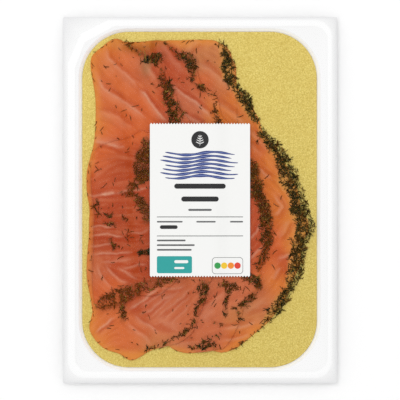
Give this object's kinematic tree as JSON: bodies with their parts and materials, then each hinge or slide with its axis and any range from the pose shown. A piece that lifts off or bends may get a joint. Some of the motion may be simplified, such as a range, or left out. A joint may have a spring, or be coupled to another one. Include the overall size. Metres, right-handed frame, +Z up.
{
  "type": "pack of gravlax",
  "caption": "Sealed flat pack of dill-cured salmon: shingled slices on a gold board in a shallow white tray, under clear film with a paper label.",
  "frame": {"origin": "under the middle of the pack, on the surface that it lies on", "axes": "+Z up out of the label, +Y towards the label's top edge along the pack's long side, +X to the right"},
  "size_m": [0.1644, 0.2198, 0.0099],
  "materials": {
    "tray_plastic": "white thermoformed plastic, smooth, soft shine",
    "gold_card": "gold-laminated board, satin with a fine sparkling grain",
    "salmon_flesh": "moist cured salmon, orange to red, pale fat lines, dark green dill at the crusted edges",
    "clear_film": "thin clear plastic film, glossy",
    "label_paper": null
  },
  "bodies": {
    "root": {"tray": "tray_plastic", "gold_board": "gold_card", "salmon_slice_1": "salmon_flesh", "salmon_slice_2": "salmon_flesh", "salmon_slice_3": "salmon_flesh", "salmon_slice_4": "salmon_flesh", "clear_film": "clear_film", "paper_label": "label_paper"}
  },
  "joints": []
}
